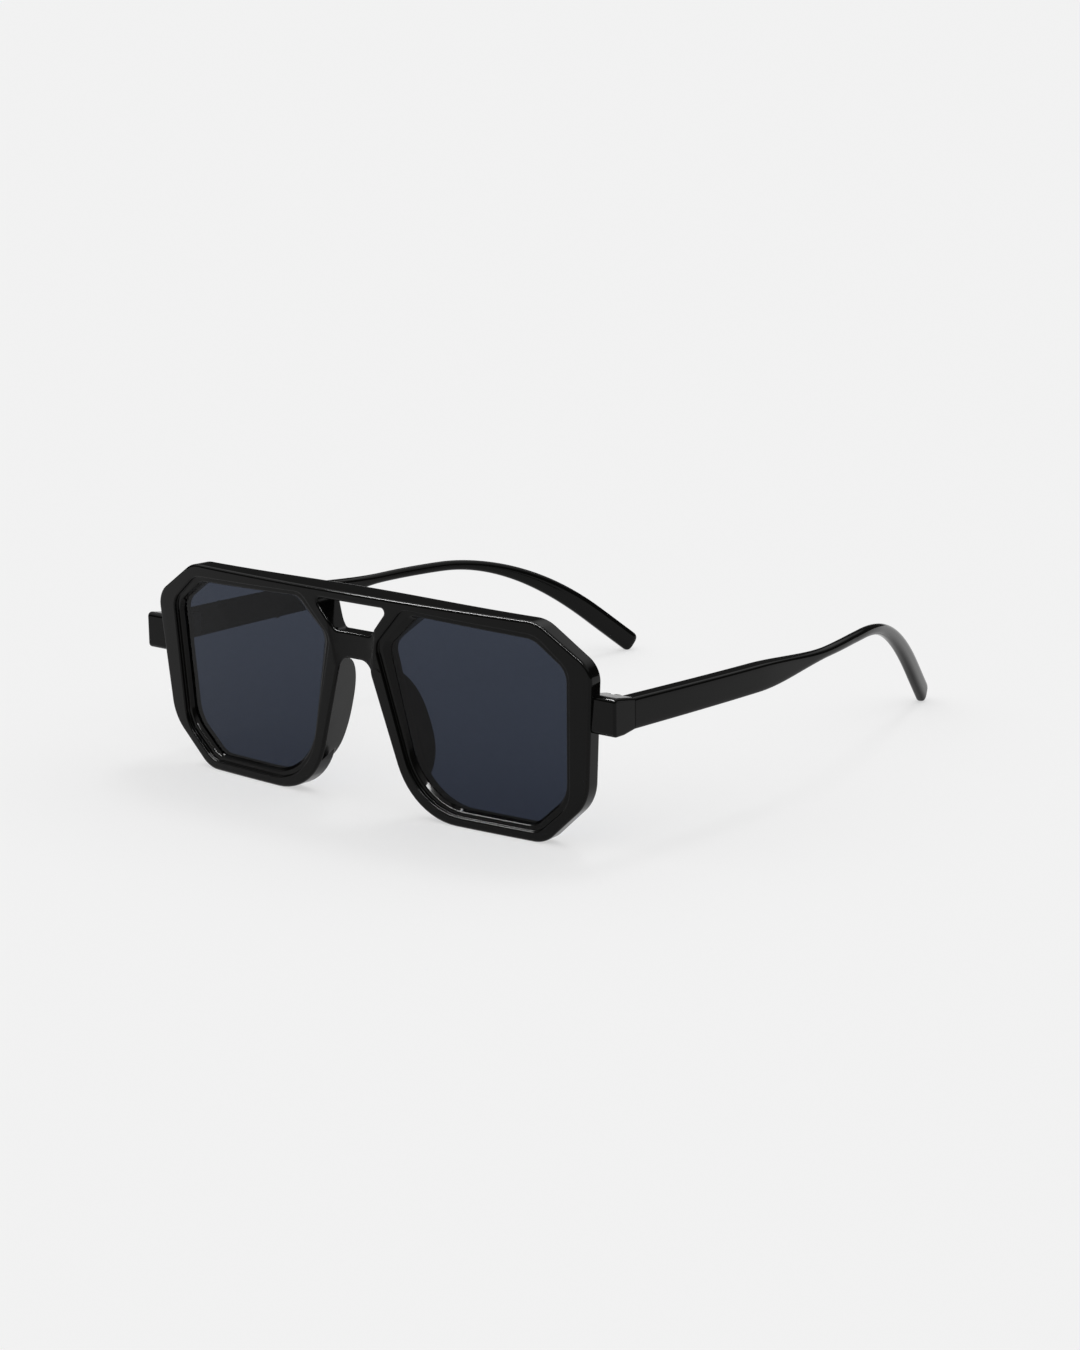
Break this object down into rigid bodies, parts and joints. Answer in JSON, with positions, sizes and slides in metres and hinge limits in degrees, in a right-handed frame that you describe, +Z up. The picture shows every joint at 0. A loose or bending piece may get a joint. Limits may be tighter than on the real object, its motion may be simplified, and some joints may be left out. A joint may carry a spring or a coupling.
{
  "type": "aviator sunglasses",
  "caption": "Black plastic aviator sunglasses with angular stepped rims, a brow bar over a small bridge opening, smoke lenses and folding temples.",
  "frame": {"origin": "centre of the bounding box in X and Y, on the floor that the rims and temple tips stand on", "axes": "+X is the wearer's left, -Y the way the wearer looks, +Z up; the temples are open"},
  "size_m": [0.137, 0.154, 0.0473],
  "materials": {
    "frame": "polished black plastic",
    "lens": "smoke blue-grey tint, polished",
    "pad": "satin black plastic",
    "steel": "fine brushed"
  },
  "bodies": {
    "front": {"front_frame": "frame", "lens_left": "lens", "lens_right": "lens", "nose_pad_left": "pad", "nose_pad_right": "pad", "hinge_front_leaf_left": "steel", "hinge_front_leaf_right": "steel", "hinge_screw_left": "steel", "hinge_screw_right": "steel"},
    "left_arm": {"temple_left": "frame", "core_wire_left": "steel", "hinge_temple_leaf_left": "steel"},
    "right_arm": {"temple_right": "frame", "core_wire_right": "steel", "hinge_temple_leaf_right": "steel"}
  },
  "joints": [
    {"name": "left_temple_hinge", "type": "hinge", "parent": "front", "child": "left_arm", "pos_m": [0.0627, -0.06539, 0.0291], "axis": [0, 0, 1], "range_deg": [0, 84]},
    {"name": "right_temple_hinge", "type": "hinge", "parent": "front", "child": "right_arm", "pos_m": [-0.0627, -0.06539, 0.0291], "axis": [0, 0, -1], "range_deg": [0, 74]}
  ]
}
